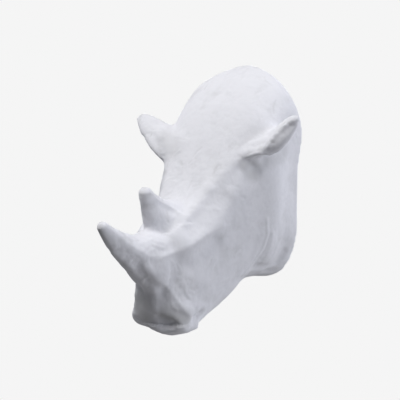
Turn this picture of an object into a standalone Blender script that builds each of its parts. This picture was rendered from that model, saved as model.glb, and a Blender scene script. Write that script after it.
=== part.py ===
"""Papier-mache rhinoceros head, made to hang on a wall.

Metres, +Z up. The wall is the plane Y = 0, the head looks along -Y, and X = 0 is its middle plane.
The head is one closed piece: a neck that grows out of the wall, a drooping skull, two horns, two
ears and a lower lip, pasted over with paper so that every joint is a soft fillet. Its back is flat.
Its carving is kept in shares of its height. A point is written as (out, forward, up): out from the
middle plane, forward from the wall and up from the hanging point, in 384ths of the height.
"""

import math

import bmesh
import bpy
import numpy
from mathutils import Matrix, Vector

HEAD_HEIGHT = 0.384
SHARE = HEAD_HEIGHT / 384

PAPER = (0.80, 0.80, 0.84, 1.0)
PAPER_ROUGHNESS = 0.85

SKIN_VOXEL = 3.6 * SHARE
SKIN_SMOOTHING = 7
SMOOTHING_STRENGTH = 0.5
FACES_KEPT = 0.13
BEHIND_WALL = 24
CREASE_ANGLE = math.radians(40)

RING_POINTS = 48
RINGS_BETWEEN_SECTIONS = 4
ROLL_POINTS = 24
ROLL_RINGS = 16
ROLL_STEP = 0.1

# Each section of the head, from behind the wall to the lips: the top and the bottom of its middle
# line as (forward, up), then its shape, which is its half width, how far up it the widest place
# lies, and how square its upper and its lower halves are.
WALL_TOP = 167
WALL_BOTTOM = -169
WALL_SHAPE = (102, 0.70, 1.76, 3.8)
HEAD_SECTIONS = [
    ((-BEHIND_WALL, WALL_TOP), (-BEHIND_WALL, WALL_BOTTOM), *WALL_SHAPE),
    ((0, WALL_TOP), (0, WALL_BOTTOM), *WALL_SHAPE),
    ((20, 157), (12, -168), 101, 0.69, 2.45, 3.6),
    ((42, 145), (26, -166), 100, 0.68, 2.7, 3.2),
    ((82, 108), (48, -164), 97, 0.66, 2.6, 3.0),
    ((112, 68), (68, -166), 84, 0.66, 2.9, 3.0),
    ((137, 28), (86, -173), 74, 0.68, 3.3, 3.2),
    ((164, -11), (102, -184), 65, 0.64, 3.2, 3.4),
    ((196, -37), (126, -196), 57, 0.60, 2.8, 3.6),
    ((227, -57), (152, -203), 53, 0.52, 2.6, 3.7),
    ((248, -90), (174, -211), 49, 0.42, 1.8, 3.6),
    ((250, -138), (194, -216), 48, 0.36, 1.45, 3.1),
    ((248, -176), (212, -216), 49, 0.40, 1.6, 2.4),
    ((239, -203), (224, -213), 34, 0.45, 2.0, 2.0),
]

# Horns in the middle plane: (forward, up) points from root to tip, and the half width and the
# half depth at each.
FRONT_HORN = [(212, -112), (250, -99), (287, -84), (318, -63), (346, -38)]
FRONT_HORN_WIDTHS = [42, 34, 22, 14, 7]
FRONT_HORN_DEPTHS = [44, 38, 24, 15.5, 7]
SECOND_HORN = [(196, -62), (222, -46), (240, -25), (257, 0)]
SECOND_HORN_WIDTHS = [31, 20, 13.5, 7.5]
SECOND_HORN_DEPTHS = [42, 31, 19, 8]

# The ears are not quite a pair: the left one is set higher and has a fuller lower edge. Each has
# its centre line from root to tip, its half width and thickness along it, the direction of that
# width, a thin rim along its front edge, and below it a fold that joins it to the neck.
LEFT_EAR = [(35, 84, 43), (68, 83, 52), (87, 77, 59), (102, 80, 66), (117, 82, 79), (134, 83, 92),
            (150, 86, 97)]
LEFT_EAR_WIDTHS = [28, 28, 25, 21, 15, 9, 4]
LEFT_EAR_THICKNESS = [19, 14, 9, 6.5, 5]
LEFT_EAR_BLADE = (0.0, -0.85, 0.52)
LEFT_RIM = [(56, 117, 34), (74, 112, 40), (90, 107, 45), (103, 103, 51), (117, 99, 68), (132, 94, 86),
            (150, 88, 97)]
LEFT_FOLD = [(98, 88, 42), (107, 91, 50), (118, 92, 59), (132, 89, 73), (146, 86, 88)]
RIGHT_EAR = [(-35, 106, 26), (-60, 108, 38), (-87, 103, 52), (-115, 97, 67), (-138, 91, 80),
             (-150, 88, 84)]
RIGHT_EAR_WIDTHS = [28, 28, 27, 21, 13, 6]
RIGHT_EAR_THICKNESS = [19, 16, 11, 8, 5]
RIGHT_EAR_BLADE = (0.0, -0.65, 0.76)
RIGHT_RIM = [(-56, 120, 24), (-75, 118, 34), (-94, 112, 44), (-114, 105, 60), (-134, 96, 76),
             (-150, 89, 84)]
RIGHT_FOLD = [(-76, 86, 18), (-94, 90, 34), (-114, 91, 54), (-132, 89, 70), (-144, 87, 79)]
RIM_RADII = [5, 5, 5, 4.5, 3.5]
FOLD_RADII = [4, 10, 11, 9, 4]

# A soft keel from under the front horn down to the upper lip, a little left of the middle.
KEEL = [(5, 280, -100), (5, 259, -120), (5, 241, -143), (5, 237, -168), (5, 229, -190)]
KEEL_RADII = [14, 16, 15, 14, 9]

# The lower lip runs round the front of the jaw from one corner of the mouth to the other, and hangs
# a little lower on the left.
LIP = [(46, 188, -206), (36, 208, -208), (20, 225, -208), (4, 230, -205), (-14, 224, -202),
       (-32, 208, -200), (-45, 188, -199)]
LIP_RADII = [4, 8, 8, 8, 4]

BROW = [(66, 98, 24), (53, 116, 9), (41, 134, -8), (35, 148, -24)]
BROW_RADII = [17, 21, 20, 13]

# Strokes of the modelling thumb: the line, its reach, and how far it lifts the skin, or presses it
# where below zero. All are made on both sides, but for the two that shape the left of the lips.
NECK_SIDE = ([(101, 4, 0), (101, 4, -30)], 60, -6)
NECK_CREASE = ([(60, 88, -145), (71, 64, -133), (81, 60, -118), (88, 58, -102), (91, 62, -80)], 9, 3.5)
NECK_LOBE = ([(78, 26, -130), (89, 25, -105)], 18, -2)
EAR_FILLET = ([(88, 101, 30), (100, 98, 38)], 15, 5)
EAR_POCKET = ([(80, 104, 4), (82, 102, 18)], 16, -3)
TEMPLE = ([(62, 136, 4), (70, 122, 18)], 14, -3.5)
UPPER_EYELID = ([(58, 144, -2), (66, 137, 0), (73, 126, -7)], 8, -1)
EYEBALL = ([(65, 138, -13), (69, 132, -14)], 9, 0.5)
FACE_CORNER = ([(58, 152, -20), (52, 178, -40), (44, 205, -56)], 22, -3)
FACE_EDGE = ([(38, 158, -8), (32, 185, -36), (26, 205, -50)], 14, 2)
SNOUT_RIDGE = ([(62, 148, -52), (51, 185, -72), (38, 222, -88)], 15, 1.5)
CHEEK_HOLLOW = ([(57, 165, -86), (50, 190, -99), (42, 208, -110)], 20, -4.5)
HORN_WAIST = ([(24, 252, -116), (24, 248, -134), (28, 244, -150)], 24, 4)
HORN_FLANK = ([(14, 232, -24), (18, 222, -30), (22, 212, -34)], 13, -3)
SADDLE = ([(14, 252, -74), (26, 240, -76), (36, 222, -76)], 20, 3)
LIP_POCKET = ([(14, 240, -188), (28, 233, -192), (38, 225, -195)], 12, -5)
LIP_RIDGE = ([(8, 252, -158), (9, 248, -178), (9, 238, -200)], 8, 1)
MOUTH_LINE = ([(42, 214, -195), (46, 200, -192), (48, 186, -185)], 8, -3)
PAIRED_STROKES = [NECK_SIDE, NECK_CREASE, NECK_LOBE, EAR_FILLET, EAR_POCKET, TEMPLE, UPPER_EYELID,
                  EYEBALL, FACE_CORNER, FACE_EDGE, SNOUT_RIDGE, CHEEK_HOLLOW, HORN_WAIST, HORN_FLANK,
                  SADDLE, MOUTH_LINE]
LEFT_STROKES = [LIP_POCKET, LIP_RIDGE]


def clear_scene():
    for old in list(bpy.data.objects):
        bpy.data.objects.remove(old)


def spot(out, forward, up):
    """The place of a point in metres."""
    return Vector((out, -forward, up)) * SHARE


def spline_value(values, place):
    """The Catmull-Rom value at a place counted in the values' own order."""
    last = len(values) - 1
    start = min(int(place), last - 1)
    t = place - start
    before, here, after, beyond = (values[min(max(start + k, 0), last)] for k in (-1, 0, 1, 2))
    slope = after - before
    square = 2 * before - 5 * here + 4 * after - beyond
    cube = 3 * here - before - 3 * after + beyond
    return here + 0.5 * (slope * t + square * t ** 2 + cube * t ** 3)


def spline_point(points, place):
    place = min(max(place, 0), len(points) - 1)
    return [spline_value(column, place) for column in zip(*points)]


def new_collection(name):
    made = bpy.data.collections.new(name)
    bpy.context.scene.collection.children.link(made)
    return made


def mesh_object(name, work, collection):
    """An object in the collection with the finished bmesh as its mesh."""
    mesh = bpy.data.meshes.new(name)
    bmesh.ops.recalc_face_normals(work, faces=work.faces)
    work.to_mesh(mesh)
    work.free()
    made = bpy.data.objects.new(name, mesh)
    collection.objects.link(made)
    return made


def loft(work, rings):
    """A closed skin through rings of the same number of points."""
    rows = [[work.verts.new(point) for point in ring] for ring in rings]
    for low, high in zip(rows, rows[1:]):
        for k in range(len(low)):
            work.faces.new((low[k], low[k - 1], high[k - 1], high[k]))
    work.faces.new(rows[0])
    work.faces.new(rows[-1][::-1])


def section_ring(top, bottom, half_width, widest, upper, lower):
    """One closed ring, in the plane of the X axis and its own top and bottom."""
    top, bottom = Vector((0, *top)), Vector((0, *bottom))
    level = bottom.lerp(top, widest)
    ring = []
    for k in range(RING_POINTS):
        angle = 2 * math.pi * k / RING_POINTS
        across, rise = math.cos(angle), math.sin(angle)
        power = 2 / (upper if rise >= 0 else lower)
        point = level.lerp(top if rise >= 0 else bottom, abs(rise) ** power)
        ring.append(spot(math.copysign(abs(across) ** power, across) * half_width, point.y, point.z))
    return ring


def spread(values, count):
    """The same run of values at another number of places."""
    last = len(values) - 1
    return [spline_value(values, k * last / (count - 1)) for k in range(count)]


def add_head_and_neck(work):
    sections = [(*top, *bottom, *rest) for top, bottom, *rest in HEAD_SECTIONS]
    rings = []
    for step in range((len(sections) - 1) * RINGS_BETWEEN_SECTIONS + 1):
        values = spline_point(sections, step / RINGS_BETWEEN_SECTIONS)
        rings.append(section_ring(values[0:2], values[2:4], *values[4:]))
    loft(work, rings)


def add_roll(work, path, half_widths, thickness, blade=(0, 1, 0)):
    """A tapering roll of paper along a path, its width measured in the blade's direction."""
    rings = []
    for step in range(ROLL_RINGS + 1):
        share = step / ROLL_RINGS
        place = share * (len(path) - 1)
        ahead = spot(*spline_point(path, place + ROLL_STEP))
        ahead -= spot(*spline_point(path, place - ROLL_STEP))
        ahead.normalize()
        across = spot(*blade)
        across = (across - ahead * across.dot(ahead)).normalized()
        through = ahead.cross(across) * spline_value(thickness, share * (len(thickness) - 1)) * SHARE
        across = across * spline_value(half_widths, place) * SHARE
        centre = spot(*spline_point(path, place))
        angles = [2 * math.pi * k / ROLL_POINTS for k in range(ROLL_POINTS)]
        rings.append([centre + across * math.cos(angle) + through * math.sin(angle) for angle in angles])
    loft(work, rings)


def add_horns(work):
    for path, widths, depths in ((FRONT_HORN, FRONT_HORN_WIDTHS, FRONT_HORN_DEPTHS),
                                 (SECOND_HORN, SECOND_HORN_WIDTHS, SECOND_HORN_DEPTHS)):
        add_roll(work, [(0, *point) for point in path], widths, depths, (1, 0, 0))


def add_ears(work):
    add_roll(work, LEFT_EAR, LEFT_EAR_WIDTHS, LEFT_EAR_THICKNESS, LEFT_EAR_BLADE)
    add_roll(work, RIGHT_EAR, RIGHT_EAR_WIDTHS, RIGHT_EAR_THICKNESS, RIGHT_EAR_BLADE)
    for rim in (LEFT_RIM, RIGHT_RIM):
        add_roll(work, rim, spread(RIM_RADII, len(rim)), RIM_RADII)
    for fold in (LEFT_FOLD, RIGHT_FOLD):
        add_roll(work, fold, FOLD_RADII, FOLD_RADII)


def add_brows(work):
    for side in (1, -1):
        path = [(side * out, forward, up) for out, forward, up in BROW]
        add_roll(work, path, BROW_RADII, BROW_RADII)


def add_muzzle(work):
    add_roll(work, KEEL, KEEL_RADII, KEEL_RADII, (1, 0, 0))
    add_roll(work, LIP, spread(LIP_RADII, len(LIP)), LIP_RADII, (0, 0, 1))


def applied(made):
    """The object with its modifiers made part of its mesh."""
    graph = bpy.context.evaluated_depsgraph_get()
    mesh = bpy.data.meshes.new_from_object(made.evaluated_get(graph))
    made.modifiers.clear()
    made.data = mesh
    return made


def pasted_form(name, collection):
    """All the masses under one skin, with soft fillets between them."""
    work = bmesh.new()
    for add in (add_head_and_neck, add_horns, add_ears, add_brows, add_muzzle):
        add(work)
    form = mesh_object(name, work, collection)
    skin = form.modifiers.new("Skin", "REMESH")
    skin.mode = "VOXEL"
    skin.voxel_size = SKIN_VOXEL
    smooth = form.modifiers.new("Smooth", "SMOOTH")
    smooth.factor = SMOOTHING_STRENGTH
    smooth.iterations = SKIN_SMOOTHING
    return applied(form)


def thumb(form, line, reach, lift, sides):
    """Lifts or presses the skin along a line, on each side given, fading out over the reach."""
    count = len(form.data.vertices)
    skin, normals = numpy.empty(count * 3), numpy.empty(count * 3)
    form.data.vertices.foreach_get("co", skin)
    form.data.vertices.foreach_get("normal", normals)
    skin, normals = skin.reshape(-1, 3), normals.reshape(-1, 3)
    for side in sides:
        nearest = numpy.full(count, numpy.inf)
        ends = [numpy.array(spot(side * out, forward, up)) for out, forward, up in line]
        for start, end in zip(ends, ends[1:]):
            run = end - start
            along = numpy.clip((skin - start) @ run / (run @ run), 0, 1)
            gap = numpy.linalg.norm(skin - start - along[:, None] * run, axis=1)
            nearest = numpy.minimum(nearest, gap)
        fade = numpy.clip(1 - (nearest / (reach * SHARE)) ** 2, 0, 1) ** 2
        skin = skin + normals * (fade * lift * SHARE)[:, None]
    form.data.vertices.foreach_set("co", skin.ravel())
    form.data.update()


def wall_cutter(collection):
    """A block that fills everything behind the wall's plane."""
    bpy.ops.mesh.primitive_cube_add(size=2 * HEAD_HEIGHT)
    cutter = bpy.context.object
    cutter.name = "wall_cutter"
    cutter.data.transform(Matrix.Translation((0, HEAD_HEIGHT, 0)))
    cutter.display_type = "WIRE"
    cutter.hide_render = True
    for holder in list(cutter.users_collection):
        holder.objects.unlink(cutter)
    collection.objects.link(cutter)
    return cutter


def paper_material():
    material = bpy.data.materials.new("white_painted_paper")
    material.use_nodes = True
    shader = material.node_tree.nodes["Principled BSDF"]
    shader.inputs["Base Color"].default_value = PAPER
    shader.inputs["Roughness"].default_value = PAPER_ROUGHNESS
    shader.inputs["Metallic"].default_value = 0.0
    return material


def rhino_head(collection, cutters):
    head = pasted_form("rhino_head", collection)
    for line, reach, lift in PAIRED_STROKES:
        thumb(head, line, reach, lift, (1, -1))
    for line, reach, lift in LEFT_STROKES:
        thumb(head, line, reach, lift, (1,))
    facets = head.modifiers.new("Facets", "DECIMATE")
    facets.ratio = FACES_KEPT
    flat = head.modifiers.new("Flat back", "BOOLEAN")
    flat.operation = "DIFFERENCE"
    flat.solver = "EXACT"
    flat.object = wall_cutter(cutters)
    applied(head)
    head.data.shade_smooth()
    head.data.set_sharp_from_angle(angle=CREASE_ANGLE)
    head.data.materials.clear()
    head.data.materials.append(paper_material())
    return head


def main():
    clear_scene()
    rhino_head(new_collection("rhino_head_trophy"), new_collection("cutters"))


main()
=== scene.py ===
"""Paper skin, white paint and studio for a papier-mache rhinoceros head that hangs on a wall.

Metres, +Z up. The wall is the plane Y = 0 behind the head, the head looks along -Y, and X = 0 is its
middle plane. The solid head comes from the frame. Its skin is laid here as one fine mesh: the solid's
facets are rubbed out, the carving is sharpened, and torn strips, lumps and wrinkles are pasted on.
A point is written as (out, forward, up): out from the middle plane, forward from the wall and up from
the hanging point, in 384ths of the head's height.
"""

import math

import bmesh
import bpy
import numpy
from bpy.props import FloatProperty, FloatVectorProperty, IntProperty, PointerProperty
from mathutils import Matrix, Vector, noise


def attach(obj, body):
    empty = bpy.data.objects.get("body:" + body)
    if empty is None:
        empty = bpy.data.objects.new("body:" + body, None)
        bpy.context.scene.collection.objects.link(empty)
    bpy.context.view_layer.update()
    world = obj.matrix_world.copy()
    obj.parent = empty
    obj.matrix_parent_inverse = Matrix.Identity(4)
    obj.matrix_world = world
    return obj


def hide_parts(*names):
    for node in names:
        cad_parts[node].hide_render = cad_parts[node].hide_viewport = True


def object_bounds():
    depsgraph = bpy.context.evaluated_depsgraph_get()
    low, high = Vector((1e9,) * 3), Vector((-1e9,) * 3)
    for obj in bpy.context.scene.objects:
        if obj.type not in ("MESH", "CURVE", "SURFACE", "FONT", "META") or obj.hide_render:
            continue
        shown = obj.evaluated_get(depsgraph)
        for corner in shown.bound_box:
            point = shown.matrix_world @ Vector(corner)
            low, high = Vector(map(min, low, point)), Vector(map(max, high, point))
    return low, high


bl_info = {
    "name": "Papier-mache rhinoceros head",
    "version": (1, 0, 0),
    "blender": (4, 5, 0),
    "location": "View3D > Sidebar > Paper head",
    "description": "Lays a pasted paper skin over the solid head and lights it in a plain studio",
    "category": "Object",
}

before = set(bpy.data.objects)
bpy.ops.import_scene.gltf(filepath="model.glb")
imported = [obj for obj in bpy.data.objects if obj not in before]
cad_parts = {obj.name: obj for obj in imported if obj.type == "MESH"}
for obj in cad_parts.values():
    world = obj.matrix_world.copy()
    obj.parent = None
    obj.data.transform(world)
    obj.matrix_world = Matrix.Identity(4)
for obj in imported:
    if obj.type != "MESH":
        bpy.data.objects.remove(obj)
SOLID_LOW, SOLID_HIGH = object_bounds()
HEIGHT_IN_SHARES = 384
SHARE = (SOLID_HIGH.z - SOLID_LOW.z) / HEIGHT_IN_SHARES

# The point that the camera looks at.
AIM = (-55.5, 51.3, -47.4)

# The crests of the two ears' front rims.
LEFT_RIM = [(147, 90, 95), (135, 96, 89), (128, 98, 82), (121, 101, 73), (115, 104, 64), (107, 106, 52),
            (101, 107, 46), (91, 110, 43), (80, 113, 40)]
RIGHT_RIM = [(-150, 89, 84), (-134, 96, 76), (-114, 105, 60), (-94, 112, 44), (-75, 118, 34)]

# The skin is pulled in and let out again by these shares, and soft places are pulled a little harder.
PULL_IN, LET_OUT, SOFT_PULL = 0.5, -0.53, 0.6

# How sharply a fold falls away from its edge. At 1 its sides would be straight.
FOLD_SHARPNESS = 1.6

# Torn edges waver by two waves along the strip's sides and two across its ends. The depths are in
# metres, the waves in radians a metre, and the paper rises to its full height over the torn border.
SIDE_TEAR, SIDE_WAVES = 0.0009, (420, 1100)
END_TEAR, END_WAVES = 0.0015, (500, 900)
TORN_BORDER = (-0.0008, 0.0016)

# Half a strip's length or width, as a share of the longest or widest. A strip reaches points within
# this many half lengths, where the skin faces its own way by at least this share.
STRIP_SHARES = (0.25, 0.5)
STRIP_MARGIN, SAME_WAY = 1.2, 0.3

# How much of a strip's thickness still shows where the paper is smooth.
SMOOTH_STRIP_SHARE = 0.4

# Sizes in metres of the small and the broad lumps of pulp, and the broad ones' share of the height.
SMALL_LUMP, BROAD_LUMP, BROAD_SHARE = 0.011, 0.035, 0.6

# Pinched folds: half their length and how wide they reach, in metres, and how far they bend as a share
# of that half. A groove is this deep beside a ridge's height.
WRINKLE_HALVES = (0.005, 0.013)
WRINKLE_REACHES = (0.0022, 0.0036)
WRINKLE_BEND = 0.4
RIDGE, GROOVE = 1.0, -0.7

# The least share of lumps anywhere, and the height in metres from the palest crest to the darkest pit.
LEAST_ROUGH = 0.25
# Over this height the pits of the relief are painted darker, as painted shade.
DARK_RELIEF = 0.0016

# In metres along Y: where the relief fades out towards the back, and what still belongs to the back.
FADE_TO_BACK = (-0.004, -0.0005)
BACK_DEPTH = -0.0004

# The border of the strips lapped over the back: the length of its waves, how far they swing as a share
# of the lap, and the width over which the strips end. Then the length and height of the card's buckles.
LAP_WAVE, LAP_WAVER, LAP_EDGE = 0.03, 0.45, 0.002
CARD_WAVE, CARD_BUCKLE = 0.02, 0.0002

# Where the solid's carving is rubbed softer, as (line, reach, passes).
SOFT_PLACES = [
    ([(60, 144, 0), (72, 128, -6), (84, 106, 4)], 20, 60),
    ([(-60, 144, 0), (-72, 128, -6), (-84, 106, 4)], 20, 60),
]

# Carving that is finer than the solid's. Rounded strokes are (line, reach, lift) and are pressed in
# where the lift is below zero.
PAIRED_STROKES = [
    ([(62, 142, -3), (68, 136, -2), (74, 126, -8)], 3, -0.6),
    ([(70, 128, -20), (76, 118, -24)], 3, -0.6),
    ([(60, 88, -145), (71, 64, -133), (81, 60, -118), (88, 58, -102), (91, 62, -80)], 9, -2.6),
    ([(86, 78, -80), (78, 80, -103), (68, 90, -126), (60, 104, -140)], 12, 1.0),
    ([(68, 76, -136), (68, 45, -141), (73, 25, -136), (83, 19, -120)], 10, -1.6),
    ([(11, 320, -76), (14, 306, -88), (17, 291, -100)], 12, -2.0),
    ([(17, 291, -100), (16, 276, -118), (15, 263, -135)], 14, -2.0),
    ([(86, 102, 22), (94, 96, 28)], 16, -2.0),
    ([(39, 229, -119), (47, 211, -118), (53, 190, -117)], 22, -1.6),
    ([(61, 34, -152), (66, 18, -152), (75, 9, -145)], 12, -1.8),
]
LEFT_STROKES = [
    ([(74, 108, 48), (84, 104, 56), (96, 100, 64)], 12, 2.0),
    ([(36, 234, -166), (48, 212, -177), (48, 184, -181)], 14, 1.4),
]
RIGHT_STROKES = [
    ([(-120, 108, 50), (-100, 114, 36), (-84, 120, 27)], 12, -3.0),
    ([(-30, 238, -203), (-22, 232, -210)], 14, -3.0),
    ([(-30, 241, -162), (-30, 240, -174)], 11, 2.0),
    ([(-107, 113, 62), (-90, 119, 52)], 9, -1.2),
    ([(-80, 121, 46), (-70, 127, 30)], 14, -2.4),
]

# Folds that come to an edge, as (line, reach above it, reach below it, lift).
PAIRED_FOLDS = [
    ([(4, 343, -38), (11, 326, -53), (15, 311, -65), (18, 299, -75), (22, 286, -84), (26, 274, -91),
      (32, 255, -94), (36, 232, -90)], 8, 10, 1.2),
    ([(32, 255, -94), (36, 232, -90), (48, 212, -83), (55, 185, -71), (64, 155, -61)], 11, 20, 1.8),
    ([(8, 252, -5), (10, 237, -18), (11, 220, -26), (16, 208, -34), (26, 202, -42)], 4, 14, 2.0),
    ([(60, 99, -146), (69, 83, -131), (81, 73, -107), (88, 72, -84), (90, 76, -60)], 4, 4, 1.7),
    ([(53, 179, -143), (59, 142, -126), (67, 115, -115)], 26, 28, 2.6),
    ([(37, 155, -2), (45, 141, 15), (57, 127, 31), (66, 115, 43)], 20, 34, 1.6),
    ([(28, 232, -66), (31, 218, -60), (33, 207, -54)], 6, 24, 2.0),
    ([(33, 207, -54), (36, 182, -30), (41, 155, -5)], 8, 24, 0.8),
]
LEFT_FOLDS = [
    (LEFT_RIM, 2, 8, 1.1),
    ([(146, 90, 90), (127, 99, 76), (113, 105, 57), (100, 108, 42)], 5, 18, -1.0),
    ([(70, 118, 34), (80, 114, 39), (90, 110, 43), (100, 107, 46)], 3, 22, 1.2),
    ([(17, 291, -100), (21, 282, -103), (19, 264, -130), (17, 249, -159), (14, 247, -175), (11, 241, -199)],
     12, 12, 1.3),
    ([(22, 276, -108), (29, 243, -137), (36, 233, -155), (43, 224, -172), (50, 213, -188)], 14, 14, 2.6),
    ([(14, 240, -202), (24, 239, -201), (33, 235, -199)], 32, 8, -9.0),
    ([(48, 206, -190), (45, 194, -191), (47, 180, -185)], 14, 6, -1.4),
]
RIGHT_FOLDS = [
    ([(-50, 116, 58), (-66, 111, 62), (-84, 105, 66)], 24, 34, 3.0),
    (RIGHT_RIM, 2, 13, 1.5),
    ([(-69, 122, 28), (-80, 116, 34), (-94, 111, 42), (-108, 106, 52)], 3, 20, 1.6),
    ([(-17, 291, -100), (-21, 282, -103), (-19, 258, -130), (-24, 246, -159), (-28, 238, -190)], 12, 12, 1.2),
    ([(-8, 236, -200), (-30, 230, -200), (-45, 212, -193), (-47, 190, -187)], 12, 5, -2.0),
]

# Painted shade where shade falls, darkest along each line, as (line, reach, share of the darkest colour).
PAINTED_SHADE_PLACES = [
    ([(24, 240, -184), (38, 232, -186), (47, 223, -190)], 22, 1.0),
    ([(0, 348, -44), (-2, 340, -54), (-3, 326, -66)], 9, 1.0),
    ([(-4, 247, -165), (-22, 243, -172), (-12, 244, -190)], 28, 1.0),
    ([(-48, 128, 36), (-72, 116, 56)], 26, 0.35),
    ([(46, 196, -191), (47, 180, -185)], 8, 0.3),
    ([(76, 110, 26), (90, 104, 26), (84, 106, 12)], 20, 0.8),
    ([(92, 92, 30), (96, 70, 32), (99, 48, 38)], 20, 0.5),
    ([(-76, 114, 20), (-90, 106, 26)], 18, 0.5),
]

# Where the paper is lumpiest, as (line, reach, share of the full height of the lumps).
ROUGH_PLACES = [
    ([(0, 240, -110), (0, 300, -70)], 60, 0.9),
    ([(0, 220, -60), (0, 245, -20)], 45, 0.9),
    ([(30, 240, -120), (40, 215, -160)], 45, 0.7),
    ([(-30, 240, -120), (-40, 215, -160)], 45, 0.7),
    ([(40, 140, 10), (-40, 140, 10)], 60, 0.5),
    (LEFT_RIM, 15, 1.5),
    (RIGHT_RIM, 15, 1.3),
]

# The studio's sweep is this line of (radius, height), turned round the head in this many steps.
SWEEP_PROFILE = [(0.02, -2.2), (5.0, -2.2), (7.0, -2.0), (8.5, -1.2), (9.0, 1.0), (8.0, 5.0), (5.0, 8.0),
                 (0.02, 9.0)]
SWEEP_TURNS = 48

# Degrees that each panel stands to the animal's left of straight ahead, and where the light that the
# floor throws up comes from, as degrees of turn and rise.
LEFT_PANEL_TURN, RIGHT_PANEL_TURN, BACK_PANEL_TURN = 105, -95, 180
BOUNCE_TURN, BOUNCE_RISE = 20, -75


class HeadSizes(bpy.types.PropertyGroup):
    """Sizes of the paper skin."""

    skin_grid: FloatProperty(
        name="Skin grid", description="Spacing of the fine mesh that carries the relief",
        default=0.00215, min=0.001, unit="LENGTH")
    relax_passes: IntProperty(
        name="Rubbing passes", description="How often the facets of the solid are rubbed out",
        default=45, min=0)
    strip_count: IntProperty(
        name="Strips", description="Number of torn strips pasted on", default=420, min=0)
    strip_length: FloatProperty(
        name="Strip length", description="Length of the longest strip",
        default=0.075, min=0.01, unit="LENGTH")
    strip_width: FloatProperty(
        name="Strip width", description="Width of the widest strip",
        default=0.026, min=0.005, unit="LENGTH")
    strip_thickness: FloatProperty(
        name="Strip thickness", description="Height of one painted-over strip",
        default=0.0002, min=0.0, unit="LENGTH")
    lump_height: FloatProperty(
        name="Lump height", description="Height of the pulp lumps where they are strongest",
        default=0.0007, min=0.0, unit="LENGTH")
    wrinkle_count: IntProperty(
        name="Wrinkles", description="Number of pinched folds in the paper", default=120, min=0)
    wrinkle_height: FloatProperty(
        name="Wrinkle height", description="Height of a pinched fold",
        default=0.0005, min=0.0, unit="LENGTH")
    lap_width: FloatProperty(
        name="Lap width", description="How far the white strips are lapped round on to the back",
        default=0.019, min=0.0, unit="LENGTH")
    card_depth: FloatProperty(
        name="Card depth", description="How far the bare card lies below the strips lapped over it",
        default=0.0006, min=0.0, unit="LENGTH")
    seed: IntProperty(name="Seed", description="Another seed lays the strips elsewhere", default=7)


class PaintColours(bpy.types.PropertyGroup):
    """Colours and sheen of the paint."""

    paint: FloatVectorProperty(
        name="Paint", description="White paint over the paper", subtype="COLOR", size=4,
        default=(0.80, 0.80, 0.84, 1.0), min=0.0, max=1.0)
    thin_paint: FloatVectorProperty(
        name="Thin paint", description="Where the paint lies thin over the paper", subtype="COLOR", size=4,
        default=(0.74, 0.74, 0.78, 1.0), min=0.0, max=1.0)
    # Colour of the painted shade, laid where shade falls and in the pits of the relief.
    painted_shade: FloatVectorProperty(
        name="Hollows", description="Paint that has gathered a little dust in the hollows",
        subtype="COLOR", size=4, default=(0.58, 0.58, 0.595, 1.0), min=0.0, max=1.0)
    backing: FloatVectorProperty(
        name="Backing card", description="Bare card on the back", subtype="COLOR", size=4,
        default=(0.50, 0.43, 0.34, 1.0), min=0.0, max=1.0)
    card_fleck: FloatVectorProperty(
        name="Card fleck", description="Darker fibres in the card", subtype="COLOR", size=4,
        default=(0.40, 0.33, 0.25, 1.0), min=0.0, max=1.0)
    full_roughness: FloatProperty(
        name="Roughness of full paint", description="Mattness where the paint lies thick",
        default=0.84, min=0.0, max=1.0, subtype="FACTOR")
    thin_roughness: FloatProperty(
        name="Roughness of thin paint", description="Mattness where the paper shows through",
        default=0.95, min=0.0, max=1.0, subtype="FACTOR")


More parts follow.
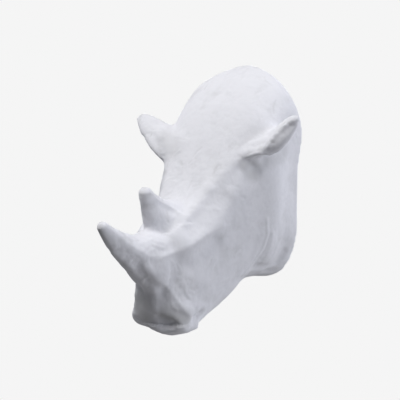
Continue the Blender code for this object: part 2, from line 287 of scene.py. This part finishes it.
class StudioSettings(bpy.types.PropertyGroup):
    """The studio's sweep, lights and camera."""

    sweep_brightness: FloatProperty(
        name="Sweep brightness", description="How bright the plain floor and backdrop look",
        default=0.913, min=0.0)
    fill_brightness: FloatProperty(
        name="Fill brightness", description="Even light from all around", default=0.15, min=0.0)
    key_power: FloatProperty(
        name="Key power", description="Power of the soft light above the head",
        default=40.0, min=0.0, unit="POWER")
    key_turn: FloatProperty(
        name="Key turn", description="Turn of that light to the animal's left of straight ahead",
        default=math.radians(-12), unit="ROTATION")
    key_rise: FloatProperty(
        name="Key rise", description="Angle of that light above the horizon",
        default=math.radians(60), unit="ROTATION")
    key_distance: FloatProperty(
        name="Key distance", description="Distance of that light from the hanging point",
        default=2.2, min=0.1, unit="LENGTH")
    key_size: FloatProperty(
        name="Key size", description="Width of that light", default=1.1, min=0.01, unit="LENGTH")
    left_power: FloatProperty(
        name="Left panel power", description="Power of the panel at the animal's left",
        default=26.5, min=0.0, unit="POWER")
    right_power: FloatProperty(
        name="Right panel power", description="Power of the panel at the animal's right",
        default=8.0, min=0.0, unit="POWER")
    bounce_power: FloatProperty(
        name="Bounce power", description="Power of the light thrown up by the pale floor",
        default=3.5, min=0.0, unit="POWER")
    fill_colour: FloatVectorProperty(
        name="Fill colour", description="Colour of the even light and of the side panels",
        subtype="COLOR", size=3, default=(0.92, 0.94, 1.0), min=0.0, max=1.0)
    bounce_colour: FloatVectorProperty(
        name="Bounce colour", description="Colour of the light thrown up by the floor",
        subtype="COLOR", size=3, default=(1.0, 0.95, 0.90), min=0.0, max=1.0)
    back_power: FloatProperty(
        name="Back panel power", description="Power of the light thrown back by the bright backdrop",
        default=32.0, min=0.0, unit="POWER")
    panel_rise: FloatProperty(
        name="Panel rise", description="Angle of the panels above the horizon",
        default=math.radians(5), unit="ROTATION")
    panel_distance: FloatProperty(
        name="Panel distance", description="Distance of the panels from the hanging point",
        default=2.0, min=0.1, unit="LENGTH")
    panel_size: FloatProperty(
        name="Panel size", description="Width of the panels", default=1.8, min=0.01, unit="LENGTH")
    camera_turn: FloatProperty(
        name="Camera turn", description="Turn to the animal's left of straight ahead",
        default=math.radians(37), unit="ROTATION")
    camera_rise: FloatProperty(
        name="Camera rise", description="Angle above the horizon",
        default=math.radians(9), unit="ROTATION")
    camera_distance: FloatProperty(
        name="Camera distance", description="Distance from the point aimed at",
        default=1.6, min=0.1, unit="LENGTH")
    focal_length: FloatProperty(
        name="Focal length", description="Lens on a 36 mm sensor, in millimetres", default=90.0, min=1.0)


def spot(out, forward, up):
    """The place of a point in metres."""
    return numpy.array((out, -forward, up)) * SHARE


def metres(line):
    return [spot(*place) for place in line]


def mirrored(line):
    return [(-out, forward, up) for out, forward, up in line]


def skin_points(mesh, what="co"):
    """The mesh's points, or its points' normals, as rows of an array."""
    flat = numpy.empty(len(mesh.vertices) * 3)
    mesh.vertices.foreach_get(what, flat)
    return flat.reshape(-1, 3)


def set_points(mesh, points):
    mesh.vertices.foreach_set("co", points.ravel())
    mesh.update()


def line_ends(mesh):
    """The two ends of each of the mesh's edges."""
    ends = numpy.empty(len(mesh.edges) * 2, dtype=int)
    mesh.edges.foreach_get("vertices", ends)
    return ends.reshape(-1, 2)


def distance_to_line(points, line):
    """How far each point is from a line of metres, and how far it is above the nearest place on it."""
    nearest = numpy.full(len(points), numpy.inf)
    above = numpy.zeros(len(points))
    for start, end in zip(line, line[1:]):
        run = end - start
        along = numpy.clip((points - start) @ run / (run @ run), 0, 1)
        offset = points - start - along[:, None] * run
        distance = numpy.linalg.norm(offset, axis=1)
        above = numpy.where(distance < nearest, offset[:, 2], above)
        nearest = numpy.minimum(nearest, distance)
    return nearest, above


def fade(distance, reach):
    """1 at no distance, falling softly to 0 at the reach."""
    return numpy.clip(1 - (distance / reach) ** 2, 0, 1) ** 2


def edge(distance, reach):
    """1 at no distance, falling sharply to 0 at the reach."""
    return numpy.clip(1 - distance / reach, 0, 1) ** FOLD_SHARPNESS


def step(value, low, high):
    """A soft step from 0 at the low value to 1 at the high one."""
    share = numpy.clip((value - low) / (high - low), 0, 1)
    return share * share * (3 - 2 * share)


def to_neighbours(points, ends):
    """From each point to the middle of its neighbours."""
    first, second = ends.T
    total = numpy.empty_like(points)
    for axis in range(3):
        column = points[:, axis]
        total[:, axis] = numpy.bincount(first, column[second], len(points))
        total[:, axis] += numpy.bincount(second, column[first], len(points))
    return total / numpy.bincount(ends.ravel(), minlength=len(points))[:, None] - points


def rubbed(mesh, passes):
    """Rubs the facets out: each pass pulls the skin in and lets it out again, so that it doesn't shrink."""
    points = skin_points(mesh)
    ends = line_ends(mesh)
    for _ in range(passes):
        for pull in (PULL_IN, LET_OUT):
            points = points + pull * to_neighbours(points, ends)
    for line, reach, more in SOFT_PLACES:
        near = fade(distance_to_line(points, metres(line))[0], reach * SHARE)[:, None]
        for _ in range(more):
            points = points + SOFT_PULL * near * to_neighbours(points, ends)
    set_points(mesh, points)


def carve(mesh):
    """Sharpens the carving with strokes of the thumb and folds of the paper."""
    strokes = LEFT_STROKES + RIGHT_STROKES
    folds = LEFT_FOLDS + RIGHT_FOLDS
    for line, *rest in PAIRED_STROKES:
        strokes += [(line, *rest), (mirrored(line), *rest)]
    for line, *rest in PAIRED_FOLDS:
        folds += [(line, *rest), (mirrored(line), *rest)]
    for line, reach, lift in strokes:
        points, normals = skin_points(mesh), skin_points(mesh, "normal")
        near = fade(distance_to_line(points, metres(line))[0], reach * SHARE)
        set_points(mesh, points + normals * (near * lift * SHARE)[:, None])
    for line, reach_above, reach_below, lift in folds:
        points, normals = skin_points(mesh), skin_points(mesh, "normal")
        distance, above = distance_to_line(points, metres(line))
        near = edge(distance, numpy.where(above > 0, reach_above, reach_below) * SHARE)
        set_points(mesh, points + normals * (near * lift * SHARE)[:, None])


def strongest(points, places, least):
    """The strongest share that the places give each point, and no less than the least."""
    shares = numpy.full(len(points), least)
    for line, reach, share in places:
        near = fade(distance_to_line(points, metres(line))[0], reach * SHARE)
        shares = numpy.maximum(shares, near * share)
    return shares


def lumps(points, size, layers):
    """Soft lumps of about the given size, from about -1 to 1."""
    return numpy.array([noise.fractal(place, 0.7, 2.0, layers) for place in (points / size).tolist()])


def tangents(normal, turn):
    """Two directions along the skin, the first turned by an angle."""
    side = numpy.cross(normal, (0.0, 0.0, 1.0) if abs(normal[2]) < 0.9 else (1.0, 0.0, 0.0))
    side /= numpy.linalg.norm(side)
    other = numpy.cross(normal, side)
    along = side * math.cos(turn) + other * math.sin(turn)
    return along, numpy.cross(normal, along)


def waver(run, waves, starts):
    """Two waves along a torn edge, added up."""
    return numpy.sin(run * waves[0] + starts[0]) + numpy.sin(run * waves[1] + starts[1])


def strips(points, normals, sizes, chance):
    """Torn strips laid over each other: the height of the paper, and each strip's own shade."""
    height = numpy.zeros(len(points))
    shade = numpy.full(len(points), 0.5)
    for start in chance.integers(0, len(points), sizes.strip_count):
        normal = normals[start]
        along, across = tangents(normal, chance.uniform(0, math.pi))
        half_length = sizes.strip_length * chance.uniform(*STRIP_SHARES)
        half_width = sizes.strip_width * chance.uniform(*STRIP_SHARES)
        waves = chance.uniform(0, 2 * math.pi, 4)
        own_shade = chance.uniform(0, 1)
        offset = points - points[start]
        close = numpy.abs(offset).max(axis=1) < half_length * STRIP_MARGIN
        near = numpy.flatnonzero(close & (normals @ normal > SAME_WAY))
        run = offset[near] @ along
        width = offset[near] @ across
        sides = half_width - numpy.abs(width) + SIDE_TEAR * waver(run, SIDE_WAVES, waves[:2])
        tips = half_length - numpy.abs(run) + END_TEAR * waver(width, END_WAVES, waves[2:])
        cover = step(numpy.minimum(sides, tips), *TORN_BORDER)
        height[near] += cover
        shade[near] += (own_shade - shade[near]) * cover
    return height, shade


def wrinkles(points, normals, sizes, rough, chance):
    """Pinched folds, most of them where the paper is lumpiest."""
    height = numpy.zeros(len(points))
    weights = rough ** 2 / (rough ** 2).sum()
    for start in chance.choice(len(points), sizes.wrinkle_count, p=weights):
        along, across = tangents(normals[start], chance.uniform(0, math.pi))
        half = chance.uniform(*WRINKLE_HALVES)
        bend = across * chance.uniform(-WRINKLE_BEND, WRINKLE_BEND) * half
        line = [points[start] - along * half, points[start] + bend, points[start] + along * half]
        reach = chance.uniform(*WRINKLE_REACHES)
        near = numpy.flatnonzero(numpy.abs(points - points[start]).max(axis=1) < half + reach)
        ridge_or_groove = chance.choice((RIDGE, GROOVE))
        height[near] += fade(distance_to_line(points[near], line)[0], reach) * ridge_or_groove
    return height


def store(mesh, name, values):
    """Keeps a value at each point for the paint to read."""
    layer = mesh.attributes.new(name, "FLOAT", "POINT")
    layer.data.foreach_set("value", values.astype(numpy.float32))


def paste_paper(mesh, sizes):
    """Strips, lumps and wrinkles over the whole skin, and the paint's marks, painted shade among them."""
    chance = numpy.random.default_rng(sizes.seed)
    points, normals = skin_points(mesh), skin_points(mesh, "normal")
    rough = strongest(points, ROUGH_PLACES, LEAST_ROUGH)
    layers, shade = strips(points, normals, sizes, chance)
    shown = SMOOTH_STRIP_SHARE + (1 - SMOOTH_STRIP_SHARE) * rough
    relief = (layers - layers.mean()) * sizes.strip_thickness * shown
    relief += lumps(points, SMALL_LUMP, 3) * sizes.lump_height * rough
    relief += lumps(points + 1.0, BROAD_LUMP, 2) * sizes.lump_height * BROAD_SHARE
    relief += wrinkles(points, normals, sizes, rough, chance) * sizes.wrinkle_height
    relief *= 1 - step(points[:, 1], *FADE_TO_BACK)
    set_points(mesh, points + normals * relief[:, None])
    store(mesh, "strip_shade", shade)
    # Painted shade: darker paint in the pits of the relief and along the places where shade falls.
    store(mesh, "painted_shade", numpy.clip(0.5 - relief / DARK_RELIEF, 0, 1))
    store(mesh, "shade_mask", strongest(points, PAINTED_SHADE_PLACES, 0.0))


def finish_back(mesh, back, sizes):
    """Keeps the back flat against the wall: bare card, with the white strips lapped over its border."""
    points = skin_points(mesh)
    ends = line_ends(mesh)
    rim = numpy.unique(ends[back[ends].sum(axis=1) == 1])
    rim = points[rim[back[rim]]][:, [0, 2]]
    across = points[back][:, [0, 2]]
    inward = numpy.array([numpy.linalg.norm(rim - place, axis=1).min() for place in across])
    torn = sizes.lap_width * (1 + LAP_WAVER * lumps(points[back], LAP_WAVE, 4))
    bare = numpy.zeros(len(points))
    bare[back] = step(inward - torn, 0, LAP_EDGE)
    card = sizes.card_depth + CARD_BUCKLE * (1 + lumps(points[back], CARD_WAVE, 3))
    points[back, 1] = -bare[back] * card
    points = numpy.clip(points, numpy.array(SOLID_LOW), numpy.array(SOLID_HIGH))
    set_points(mesh, points)
    corners = numpy.empty(len(mesh.loops), dtype=int)
    starts = numpy.empty(len(mesh.polygons), dtype=int)
    mesh.loops.foreach_get("vertex_index", corners)
    mesh.polygons.foreach_get("loop_start", starts)
    on_card = numpy.minimum.reduceat(bare[corners], starts) > 0.5
    mesh.polygons.foreach_set("material_index", on_card.astype(int))


def fine_copy(node, name, grid):
    """A new object with the node's shape on a fine, even mesh."""
    work = bmesh.new()
    work.from_mesh(node.data)
    bmesh.ops.remove_doubles(work, verts=work.verts, dist=1e-6)
    mesh = bpy.data.meshes.new(name)
    work.to_mesh(mesh)
    work.free()
    made = bpy.data.objects.new(name, mesh)
    bpy.context.scene.collection.objects.link(made)
    remesh = made.modifiers.new("Skin", "REMESH")
    remesh.mode = "VOXEL"
    remesh.voxel_size = grid
    graph = bpy.context.evaluated_depsgraph_get()
    fine = bpy.data.meshes.new_from_object(made.evaluated_get(graph))
    made.modifiers.clear()
    made.data = fine
    fine.materials.clear()
    bpy.data.meshes.remove(mesh)
    fine.name = name
    return made


def group_with(name, inputs, outputs):
    """A new shader node group with its sockets, and its input and output nodes."""
    group = bpy.data.node_groups.new(name, "ShaderNodeTree")
    for label, kind, value in inputs:
        socket = group.interface.new_socket(label, in_out="INPUT", socket_type=kind)
        socket.default_value = value
    for label, kind in outputs:
        group.interface.new_socket(label, in_out="OUTPUT", socket_type=kind)
    return group, group.nodes.new("NodeGroupInput"), group.nodes.new("NodeGroupOutput")


def node(tree, kind, **settings):
    made = tree.nodes.new(kind)
    for key, value in settings.items():
        setattr(made, key, value)
    return made


def noise_node(tree, place, scale, detail, roughness=0.5):
    """A noise texture over the object's own coordinates."""
    made = node(tree, "ShaderNodeTexNoise")
    made.inputs["Detail"].default_value = detail
    made.inputs["Roughness"].default_value = roughness
    tree.links.new(place, made.inputs["Vector"])
    if isinstance(scale, float):
        made.inputs["Scale"].default_value = scale
    else:
        tree.links.new(scale, made.inputs["Scale"])
    return made.outputs["Fac"]


def calculated(tree, operation, *values):
    """The result of one sum, from sockets or numbers."""
    made = node(tree, "ShaderNodeMath", operation=operation)
    for socket, value in zip(made.inputs, values):
        if isinstance(value, (int, float)):
            socket.default_value = value
        else:
            tree.links.new(value, socket)
    return made.outputs[0]


def ranged(tree, value, low, high, new_low, new_high):
    made = node(tree, "ShaderNodeMapRange", interpolation_type="SMOOTHSTEP")
    tree.links.new(value, made.inputs["Value"])
    for label, number in (("From Min", low), ("From Max", high), ("To Min", new_low), ("To Max", new_high)):
        made.inputs[label].default_value = number
    return made.outputs["Result"]


def mixed(tree, share, first, second):
    """One colour laid over another by a share."""
    made = node(tree, "ShaderNodeMix", data_type="RGBA")
    tree.links.new(share, made.inputs["Factor"])
    for socket, value in ((made.inputs[6], first), (made.inputs[7], second)):
        if isinstance(value, bpy.types.NodeSocket):
            tree.links.new(value, socket)
        else:
            socket.default_value = value
    return made.outputs[2]


def paper_grain_group():
    """The tooth of the paper and the drag of the brush, as one height."""
    group, given, put = group_with(
        "paper_grain",
        [("Tooth scale", "NodeSocketFloat", 900.0), ("Lump scale", "NodeSocketFloat", 160.0),
         ("Lump share", "NodeSocketFloat", 0.5)],
        [("Height", "NodeSocketFloat"), ("Mottle", "NodeSocketFloat")])
    place = node(group, "ShaderNodeTexCoord").outputs["Object"]
    tooth = noise_node(group, place, given.outputs["Tooth scale"], 3.0, 0.6)
    lump = noise_node(group, place, given.outputs["Lump scale"], 4.0, 0.55)
    weighted = calculated(group, "MULTIPLY", lump, given.outputs["Lump share"])
    group.links.new(calculated(group, "ADD", tooth, weighted), put.inputs["Height"])
    group.links.new(ranged(group, lump, 0.35, 0.65, 0.0, 1.0), put.inputs["Mottle"])
    return group


def paint_layers_group():
    """White paint that lies thin on some strips, with painted shade in the pits and where shade falls."""
    group, given, put = group_with(
        "paint_layers",
        [("Paint", "NodeSocketColor", (0.8, 0.8, 0.8, 1.0)),
         ("Thin paint", "NodeSocketColor", (0.7, 0.7, 0.7, 1.0)),
         ("Hollow", "NodeSocketColor", (0.6, 0.6, 0.6, 1.0)), ("Mottle", "NodeSocketFloat", 0.5),
         ("Thin share", "NodeSocketFloat", 0.4), ("Dust share", "NodeSocketFloat", 0.5)],
        [("Color", "NodeSocketColor"), ("Cover", "NodeSocketFloat")])
    shade = node(group, "ShaderNodeAttribute", attribute_name="strip_shade").outputs["Fac"]
    depth = node(group, "ShaderNodeAttribute", attribute_name="painted_shade").outputs["Fac"]
    shade_mask = node(group, "ShaderNodeAttribute", attribute_name="shade_mask").outputs["Fac"]
    thin = calculated(group, "MULTIPLY", shade, given.outputs["Mottle"])
    thin = calculated(group, "MULTIPLY", thin, given.outputs["Thin share"])
    coat = mixed(group, thin, given.outputs["Paint"], given.outputs["Thin paint"])
    # Painted shade: the pits of the relief and the places where shade falls take the shade colour.
    shading = ranged(group, depth, 0.5, 1.0, 0.0, 1.0)
    shading = calculated(group, "MULTIPLY", shading, given.outputs["Dust share"])
    shading = calculated(group, "MAXIMUM", shading, shade_mask)
    group.links.new(mixed(group, shading, coat, given.outputs["Hollow"]), put.inputs["Color"])
    group.links.new(calculated(group, "SUBTRACT", 1.0, thin), put.inputs["Cover"])
    return group


def placed_group(tree, group, **values):
    made = node(tree, "ShaderNodeGroup", node_tree=group)
    for label, value in values.items():
        made.inputs[label.replace("_", " ")].default_value = value
    return made


def paper_material(name, groups, colours, mattness, grain_height, tooth, thin_share, shading_share):
    """Matt paper: colour from its layers of paint or fibre and from painted shade, relief from the grain."""
    grain_group, layers_group = groups
    material = bpy.data.materials.new(name)
    material.use_nodes = True
    tree = material.node_tree
    shader = tree.nodes["Principled BSDF"]
    grain = placed_group(tree, grain_group, Tooth_scale=tooth, Lump_scale=170.0, Lump_share=1.4)
    # The third colour is the painted shade.
    paint, thin, painted_shade = colours
    coat = placed_group(tree, layers_group, Paint=paint, Thin_paint=thin, Hollow=painted_shade,
                        Thin_share=thin_share, Dust_share=shading_share)
    tree.links.new(grain.outputs["Mottle"], coat.inputs["Mottle"])
    tree.links.new(coat.outputs["Color"], shader.inputs["Base Color"])
    tree.links.new(ranged(tree, coat.outputs["Cover"], 0.5, 1.0, *mattness), shader.inputs["Roughness"])
    bump = node(tree, "ShaderNodeBump")
    bump.inputs["Distance"].default_value = grain_height
    bump.inputs["Strength"].default_value = 1.0
    tree.links.new(grain.outputs["Height"], bump.inputs["Height"])
    tree.links.new(bump.outputs["Normal"], shader.inputs["Normal"])
    shader.inputs["Specular IOR Level"].default_value = 0.3
    shader.inputs["Metallic"].default_value = 0.0
    return material


class PAPERHEAD_OT_head(bpy.types.Operator):
    """Lay the painted paper skin over the solid head"""

    bl_idname = "paperhead.head"
    bl_label = "Paper head"

    def execute(self, context):
        sizes, colours = context.scene.paper_head_sizes, context.scene.paper_head_colours
        head = fine_copy(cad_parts["rhino_head"], "rhino_head_paper", sizes.skin_grid)
        mesh = head.data
        back = skin_points(mesh)[:, 1] > BACK_DEPTH
        if not back.any():
            raise RuntimeError("the solid's back isn't on the wall plane")
        rubbed(mesh, sizes.relax_passes)
        carve(mesh)
        paste_paper(mesh, sizes)
        mesh.shade_smooth()
        groups = (paper_grain_group(), paint_layers_group())
        mattness = (colours.thin_roughness, colours.full_roughness)
        # The front's third colour is its painted shade; on the card it is the card's own colour.
        front = paper_material(
            "white_painted_paper", groups, (colours.paint, colours.thin_paint, colours.painted_shade), mattness,
            grain_height=0.00008, tooth=900.0, thin_share=0.6, shading_share=0.5)
        rear = paper_material(
            "bare_backing_card", groups, (colours.backing, colours.card_fleck, colours.backing), mattness,
            grain_height=0.00012, tooth=700.0, thin_share=1.0, shading_share=0.6)
        mesh.materials.append(front)
        mesh.materials.append(rear)
        finish_back(mesh, back, sizes)
        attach(head, "root")
        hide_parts("rhino_head")
        return {"FINISHED"}


def towards(turn, rise):
    """The direction turned to the animal's left of straight ahead and raised above the horizon."""
    return Vector((math.sin(turn) * math.cos(rise), -math.cos(turn) * math.cos(rise), math.sin(rise)))


def put_facing(made, direction, distance, aim):
    """Puts a lamp or a camera at a distance in that direction, looking back at the point aimed at."""
    made.location = aim + direction * distance
    made.rotation_mode = "QUATERNION"
    made.rotation_quaternion = (-direction).to_track_quat("-Z", "Y")
    bpy.context.scene.collection.objects.link(made)


def soft_light(name, turn, rise, distance, size, power, colour=(1.0, 1.0, 1.0)):
    lamp = bpy.data.lights.new(name, "AREA")
    lamp.size, lamp.energy, lamp.color = size, power, colour
    made = bpy.data.objects.new(name, lamp)
    made.visible_camera = False
    put_facing(made, towards(turn, rise), distance, Vector())


def studio_sweep(brightness):
    """A plain pale floor that curves up all round into the backdrop, seen by the camera alone."""
    work = bmesh.new()
    rows = []
    for radius, height in SWEEP_PROFILE:
        row = []
        for k in range(SWEEP_TURNS):
            angle = 2 * math.pi * k / SWEEP_TURNS
            row.append(work.verts.new((radius * math.cos(angle), radius * math.sin(angle), height)))
        rows.append(row)
    for low, high in zip(rows, rows[1:]):
        for k in range(SWEEP_TURNS):
            work.faces.new((low[k - 1], low[k], high[k], high[k - 1]))
    work.faces.new(rows[0])
    work.faces.new(rows[-1])
    mesh = bpy.data.meshes.new("studio_sweep")
    work.to_mesh(mesh)
    work.free()
    material = bpy.data.materials.new("pale_sweep")
    material.use_nodes = True
    shader = material.node_tree.nodes["Principled BSDF"]
    shader.inputs["Base Color"].default_value = (0.0, 0.0, 0.0, 1.0)
    shader.inputs["Roughness"].default_value = 1.0
    shader.inputs["Specular IOR Level"].default_value = 0.0
    shader.inputs["Emission Color"].default_value = (1.0, 1.0, 1.0, 1.0)
    shader.inputs["Emission Strength"].default_value = brightness
    mesh.materials.append(material)
    made = bpy.data.objects.new("studio_sweep", mesh)
    made.visible_diffuse = made.visible_glossy = made.visible_shadow = False
    bpy.context.scene.collection.objects.link(made)


def fill_light(brightness, colour):
    world = bpy.data.worlds.new("studio_fill")
    world.use_nodes = True
    background = world.node_tree.nodes["Background"]
    background.inputs["Color"].default_value = (*colour, 1.0)
    background.inputs["Strength"].default_value = brightness
    bpy.context.scene.world = world


def studio_camera(settings):
    """The camera, turned to the animal's left and a little above it."""
    lens = bpy.data.cameras.new("studio_camera")
    lens.sensor_width = 36
    lens.lens = settings.focal_length
    lens.clip_end = 50
    made = bpy.data.objects.new("studio_camera", lens)
    direction = towards(settings.camera_turn, settings.camera_rise)
    put_facing(made, direction, settings.camera_distance, Vector(spot(*AIM)))
    bpy.context.scene.camera = made


class PAPERHEAD_OT_studio(bpy.types.Operator):
    """Set up the pale sweep, the soft lights and the camera"""

    bl_idname = "paperhead.studio"
    bl_label = "Studio"

    def execute(self, context):
        settings = context.scene.paper_head_studio
        studio_sweep(settings.sweep_brightness)
        fill_light(settings.fill_brightness, settings.fill_colour)
        soft_light("key_light", settings.key_turn, settings.key_rise, settings.key_distance,
                   settings.key_size, settings.key_power)
        for name, turn, power in (("left_panel", LEFT_PANEL_TURN, settings.left_power),
                                  ("right_panel", RIGHT_PANEL_TURN, settings.right_power),
                                  ("back_panel", BACK_PANEL_TURN, settings.back_power)):
            soft_light(name, math.radians(turn), settings.panel_rise, settings.panel_distance,
                       settings.panel_size, power, settings.fill_colour)
        soft_light("floor_bounce", math.radians(BOUNCE_TURN), math.radians(BOUNCE_RISE),
                   settings.panel_distance, settings.panel_size, settings.bounce_power,
                   settings.bounce_colour)
        studio_camera(settings)
        context.scene.view_settings.view_transform = "Standard"
        return {"FINISHED"}


class PAPERHEAD_PT_panel(bpy.types.Panel):
    """Sizes, colours and makers of the paper head"""

    bl_label = "Paper head"
    bl_idname = "PAPERHEAD_PT_panel"
    bl_space_type = "VIEW_3D"
    bl_region_type = "UI"
    bl_category = "Paper head"

    def draw(self, context):
        for group, maker in (("paper_head_sizes", "paperhead.head"), ("paper_head_colours", None),
                             ("paper_head_studio", "paperhead.studio")):
            box = self.layout.box()
            settings = getattr(context.scene, group)
            for name in settings.__annotations__:
                box.prop(settings, name)
            if maker:
                box.operator(maker)


CLASSES = (HeadSizes, PaintColours, StudioSettings, PAPERHEAD_OT_head, PAPERHEAD_OT_studio,
           PAPERHEAD_PT_panel)


def register():
    for each in CLASSES:
        bpy.utils.register_class(each)
    bpy.types.Scene.paper_head_sizes = PointerProperty(type=HeadSizes)
    bpy.types.Scene.paper_head_colours = PointerProperty(type=PaintColours)
    bpy.types.Scene.paper_head_studio = PointerProperty(type=StudioSettings)


def unregister():
    del bpy.types.Scene.paper_head_sizes
    del bpy.types.Scene.paper_head_colours
    del bpy.types.Scene.paper_head_studio
    for each in reversed(CLASSES):
        bpy.utils.unregister_class(each)


def main():
    register()
    bpy.ops.paperhead.head()
    bpy.ops.paperhead.studio()


if __name__ == "__main__":
    main()
